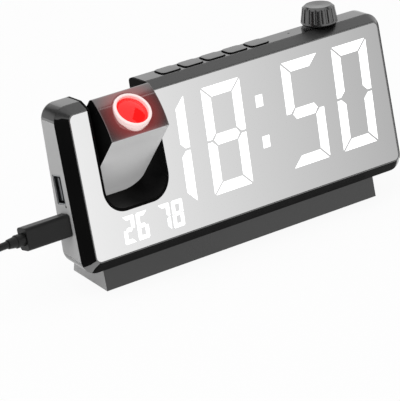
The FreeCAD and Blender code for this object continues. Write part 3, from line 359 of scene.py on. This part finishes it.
# Stand: a low black foot moulded in the same ABS with a slightly softer polish, on rubber pads. Its flat ends
# take the case's painted light grey.
stand_abs = clouded_surface("satin_black_abs", "#1a1a1a", "#202020", 0.28, 1.68, 0.0005)
finish_node("stand", stand_abs, faced=painted_light_end_skins)
rubber = clouded_surface("moulded_rubber", "#141414", "#1a1a1a", 0.8, 1.5, 0.0003)
dress(rubber, "stand_pads")

# Mirror: an acrylic plate with a thin metal film on its back, bright and neutral, with the light of the
# display coming through it. Its tone is a painted reflection, bright at the left end and darker towards the right
# end.
film = bpy.data.materials.new("mirror_coated_acrylic")
film.use_nodes = True
tree = film.node_tree
shader = tree.nodes["Principled BSDF"]
shader.inputs["Metallic"].default_value = 1.0
shader.inputs["Roughness"].default_value = 0.06
place = add_node(tree, "ShaderNodeTexCoord")
split = add_node(tree, "ShaderNodeSeparateXYZ", links={0: place.outputs["Object"]})
along = add_node(tree, "ShaderNodeMapRange", {"From Min": -0.095, "From Max": 0.095}, {"Value": split.outputs[0]})
# Painted reflection: the tone runs from bright at the left end to darker at the right end.
painted_reflection_fade = add_node(tree, "ShaderNodeValToRGB", links={0: along.outputs[0]})
painted_reflection_fade.color_ramp.elements[0].color = linear("#ececec")
painted_reflection_fade.color_ramp.elements[1].color = linear("#b2b2b2")
tree.links.new(painted_reflection_fade.outputs[0], shader.inputs["Base Color"])
dress(film, "mirror_panel")

# Display light: seven-bar digits and a colon, seen through the mirror as flat white shapes
lit = bpy.data.materials.new("lit_segments")
lit.use_nodes = True
tree = lit.node_tree
shader = tree.nodes["Principled BSDF"]
shader.inputs["Base Color"].default_value = linear("#ffffff")
shader.inputs["Roughness"].default_value = 0.4
shader.inputs["Emission Color"].default_value = linear("#ffffff")
shader.inputs["Emission Strength"].default_value = 1.0
SLANT = 0.05
GAP_SHARE = 0.13
LIGHT_PROUD = 0.00006
TIME_LOW = 0.0128
TIME_HIGH = 0.0525
TIME_STROKE = 0.0052
COLON_LEFT = 0.0120
COLON_WIDE = 0.0042
COLON_HIGH = 0.0058
SMALL_LOW = 0.0040
SMALL_WIDE = 0.0064
SMALL_HIGH = 0.0132
SMALL_STROKE = 0.0019
SEVEN_BARS = {"0": "abcdef", "1": "bc", "2": "abged", "3": "abgcd", "4": "fgbc", "5": "afgcd", "6": "afgedc",
              "7": "abc", "8": "abcdefg", "9": "abcdfg"}


def digit_bars(character, left, low, wide, high, stroke):
    """The lit bars of one digit as outlines in the mirror's plane. The outer bars are mitred where they
    meet, so together they make one frame, and each keeps half a gap from the mitre line."""
    g = stroke * GAP_SHARE
    mid, h = high / 2, stroke / 2
    across_top = [(g, high), (wide - g, high), (wide - stroke - g, high - stroke), (stroke + g, high - stroke)]
    across_low = [(g, 0), (stroke + g, stroke), (wide - stroke - g, stroke), (wide - g, 0)]
    upper_right = [(wide, high - g), (wide, mid + g), (wide - h, mid + g), (wide - stroke, mid + h + g),
                   (wide - stroke, high - stroke - g)]
    middle = [(h + 2 * g, mid), (stroke + g, mid - h), (wide - stroke - g, mid - h), (wide - h - 2 * g, mid),
              (wide - stroke - g, mid + h), (stroke + g, mid + h)]
    upper_right = np.array(upper_right)
    flip_side = np.array([wide, 0]), np.array([-1, 1])
    flip_down = np.array([0, high]), np.array([1, -1])
    upper_left = flip_side[0] + flip_side[1] * upper_right
    bars = {"a": np.array(across_top), "d": np.array(across_low), "g": np.array(middle), "b": upper_right,
            "f": upper_left, "c": flip_down[0] + flip_down[1] * upper_right,
            "e": flip_down[0] + flip_down[1] * upper_left}
    outlines = []
    for bar in SEVEN_BARS[character]:
        shape = bars[bar].astype(float)
        shape[:, 0] += left + (shape[:, 1] - high) * SLANT
        shape[:, 1] += low
        doubled_area = np.sum(shape[:, 0] * np.roll(shape[:, 1], -1) - shape[:, 1] * np.roll(shape[:, 0], -1))
        outlines.append(shape if doubled_area > 0 else shape[::-1])
    return outlines


def dot_outline(across, up, wide, high):
    """A small upright block of the colon, slanted like the digits."""
    return np.array([(across, up), (across + wide, up), (across + wide + high * SLANT, up + high),
                     (across + high * SLANT, up + high)])


def lit_piece(name, outlines):
    """Flat shapes lying just in front of the mirror's face, one face each."""
    corners = np.concatenate(outlines)
    counts = [len(shape) for shape in outlines]
    starts = np.cumsum([0] + counts[:-1])
    faces = [list(range(first, first + count)) for first, count in zip(starts.tolist(), counts)]
    mesh = bpy.data.meshes.new(name)
    mesh.from_pydata(case_place(corners[:, 0], corners[:, 1], -LIGHT_PROUD).tolist(), [], faces)
    mesh.materials.append(lit)
    piece = bpy.data.objects.new(name, mesh)
    bpy.context.scene.collection.objects.link(piece)
    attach(piece, "case")
    return piece


time_bars = []
for character, left, wide in (("1", -0.0446, 0.0155), ("8", -0.0185, 0.0233), ("5", 0.0304, 0.0233),
                              ("0", 0.0625, 0.0223)):
    time_bars += digit_bars(character, left, TIME_LOW, wide, TIME_HIGH, TIME_STROKE)
lit_piece("lit_time", time_bars)
lit_piece("lit_colon", [dot_outline(COLON_LEFT, up, COLON_WIDE, COLON_HIGH) for up in (0.0275, 0.0480)])
small_bars = []
for character, left in (("2", -0.0756), ("6", -0.0678), ("7", -0.0548), ("8", -0.0470)):
    small_bars += digit_bars(character, left, SMALL_LOW, SMALL_WIDE, SMALL_HIGH, SMALL_STROKE)
lit_piece("lit_room_readings", small_bars)

# Projector bay: the same black ABS with a fine matte texture, painted near black as the shade in the recess,
# so that it hardly shows a reflection. The head's sides and the hidden parts inside take the same painted shade.
painted_shade_matte_abs = clouded_surface("painted_shade_matte_black_abs", "#020202", "#040404", 0.6, 1.15, 0.0004)
finish_node("projector_bay", painted_shade_matte_abs)
dress(painted_shade_matte_abs, "pivot_bush_left", "pivot_bush_right", "slide_carrier", "key_switches")

# Projector head: two shells of the case's polished ABS, which turn on pins in the bay's walls. Its flat
# front is painted light grey with a painted glow that keeps it pale down in the bay, its sides take the
# bay's painted shade, and the face round the lens is a reddish grey with a painted red glow of the lamp's
# light. The mirror doesn't show the shells, as in the photograph.
HEAD_LEAN = math.radians(32.1)
HEAD_FRONT = np.array([0, -math.cos(HEAD_LEAN), -math.sin(HEAD_LEAN)])
LENS_WAY = np.array([0, -math.sin(HEAD_LEAN), math.cos(HEAD_LEAN)])
PAINTED_GLOW_INNER = 0.008
PAINTED_GLOW_REACH = 0.020
head_abs = clouded_surface("polished_head_abs", "#1d1d1d", "#242424", 0.12, 3.2, 0.0008)
painted_light_front_grey = clouded_surface("painted_light_grey_front_abs", "#d6d6d6", "#dcdcdc", 0.5, 1.2, 0.0005)
tree = painted_light_front_grey.node_tree
place = add_node(tree, "ShaderNodeTexCoord")
split = add_node(tree, "ShaderNodeSeparateXYZ", links={0: place.outputs["Object"]})
# Painted light: a grey glow that grows towards the bottom of the front, standing in for light bounced into the bay.
painted_bounce_light = add_node(tree, "ShaderNodeMapRange", {"From Min": 0.072, "From Max": 0.040, "To Min": 0.0, "To Max": 0.55},
                  {"Value": split.outputs[2]})
shader = tree.nodes["Principled BSDF"]
shader.inputs["Emission Color"].default_value = linear("#b5b5b5")
tree.links.new(painted_bounce_light.outputs[0], shader.inputs["Emission Strength"])
# Painted red glow: the face round the lens emits red, fading out from the ring, for the lamp's light on it.
painted_red_glow_face = clouded_surface("red_glow_painted_face_abs", "#3a3232", "#403737", 0.15, 2.2, 0.0008)
tree = painted_red_glow_face.node_tree
ring_low, ring_high = (np.array(corner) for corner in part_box("focus_ring"))
place = add_node(tree, "ShaderNodeTexCoord")
reach = add_node(tree, "ShaderNodeVectorMath", {1: tuple((ring_low + ring_high) / 2)}, {0: place.outputs["Object"]},
                 operation="DISTANCE")
painted_glow_fall = add_node(tree, "ShaderNodeMapRange",
                {"From Min": PAINTED_GLOW_INNER, "From Max": PAINTED_GLOW_REACH, "To Min": 0.30, "To Max": 0.0},
                {"Value": reach.outputs["Value"]}, interpolation_type="SMOOTHSTEP")
shader = tree.nodes["Principled BSDF"]
shader.inputs["Emission Color"].default_value = linear("#d01818")
tree.links.new(painted_glow_fall.outputs[0], shader.inputs["Emission Strength"])
# The head's sides take the painted shade, its flat front the painted light and its lens face the painted red glow.
head_painted_light_and_shade_skins = [(LEFT, 4, painted_shade_matte_abs), (RIGHT, 4, painted_shade_matte_abs), (HEAD_FRONT, 4, painted_light_front_grey),
              (LENS_WAY, 34, painted_red_glow_face)]
for shell in (finish_node("projector_front_shell", head_abs, "projector_head", faced=head_painted_light_and_shade_skins),
              finish_node("projector_rear_shell", head_abs, "projector_head",
                          faced=head_painted_light_and_shade_skins[:2] + head_painted_light_and_shade_skins[3:])):
    shell.visible_glossy = False
dress(head_abs, "pivot_pin_left", "pivot_pin_right")

# Focus ring and lens: a translucent white ring lit from inside by the red lamp, round a red glass dome
ring_milk = bpy.data.materials.new("translucent_ring_plastic")
ring_milk.use_nodes = True
tree = ring_milk.node_tree
shader = tree.nodes["Principled BSDF"]
shader.inputs["Base Color"].default_value = linear("#f4e6e4")
shader.inputs["Roughness"].default_value = 0.3
shader.inputs["Emission Color"].default_value = linear("#ffb4b0")
shader.inputs["Emission Strength"].default_value = 0.25
soft_edge = add_node(tree, "ShaderNodeBevel", {"Radius": 0.0006}, samples=6)
tree.links.new(soft_edge.outputs[0], shader.inputs["Normal"])
finish_node("focus_ring", ring_milk, "focus_barrel")
red_glass = bpy.data.materials.new("red_lit_glass")
red_glass.use_nodes = True
tree = red_glass.node_tree
shader = tree.nodes["Principled BSDF"]
shader.inputs["Base Color"].default_value = linear("#c80f0f")
shader.inputs["Roughness"].default_value = 0.05
shader.inputs["Emission Color"].default_value = linear("#f01414")
shader.inputs["Emission Strength"].default_value = 0.9
finish_node("projector_lens", red_glass, "focus_barrel")
dress(red_glass, "image_slide")

# Knob: a fluted cap in satin black on a turned aluminium shaft
knob_abs = clouded_surface("satin_knob_abs", "#080808", "#0c0c0c", 0.2, 2.1, 0.0003)
finish_node("volume_knob", knob_abs, "knob", 35)
turned = clouded_surface("turned_aluminium", "#b0b2b4", "#bcbec0", 0.3, 1.5, 0.0002)
turned.node_tree.nodes["Principled BSDF"].inputs["Metallic"].default_value = 1.0
dress(turned, "encoder_shaft")

# Sockets, screws and cell: folded and turned steel, bright with faint brushing
steel = clouded_surface("zinc_plated_steel", "#8f9294", "#a2a5a7", 0.3, 1.5, 0.0002)
steel.node_tree.nodes["Principled BSDF"].inputs["Metallic"].default_value = 1.0
dress(steel, "usb_socket", "power_socket", "case_screws", "door_screw", "stand_screws", "coin_cell",
      "encoder_body")
brass = clouded_surface("spring_brass", "#a88a45", "#b99a50", 0.3, 1.5, 0.0002)
brass.node_tree.nodes["Principled BSDF"].inputs["Metallic"].default_value = 1.0
dress(brass, "cell_contact")

# Boards, mask and speaker inside the case, seen only through gaps
board = clouded_surface("solder_mask", "#173a22", "#1f4a2c", 0.4, 1.5, 0.0002)
dress(board, "display_board", "main_board", "port_board", "key_board", "projector_lamp")
dress(painted_shade_matte_abs, "segment_mask", "speaker")
diffuser = clouded_surface("frosted_diffuser", "#e9ebee", "#f2f4f6", 0.6, 1.5, 0.0002)
dress(diffuser, "segment_windows")
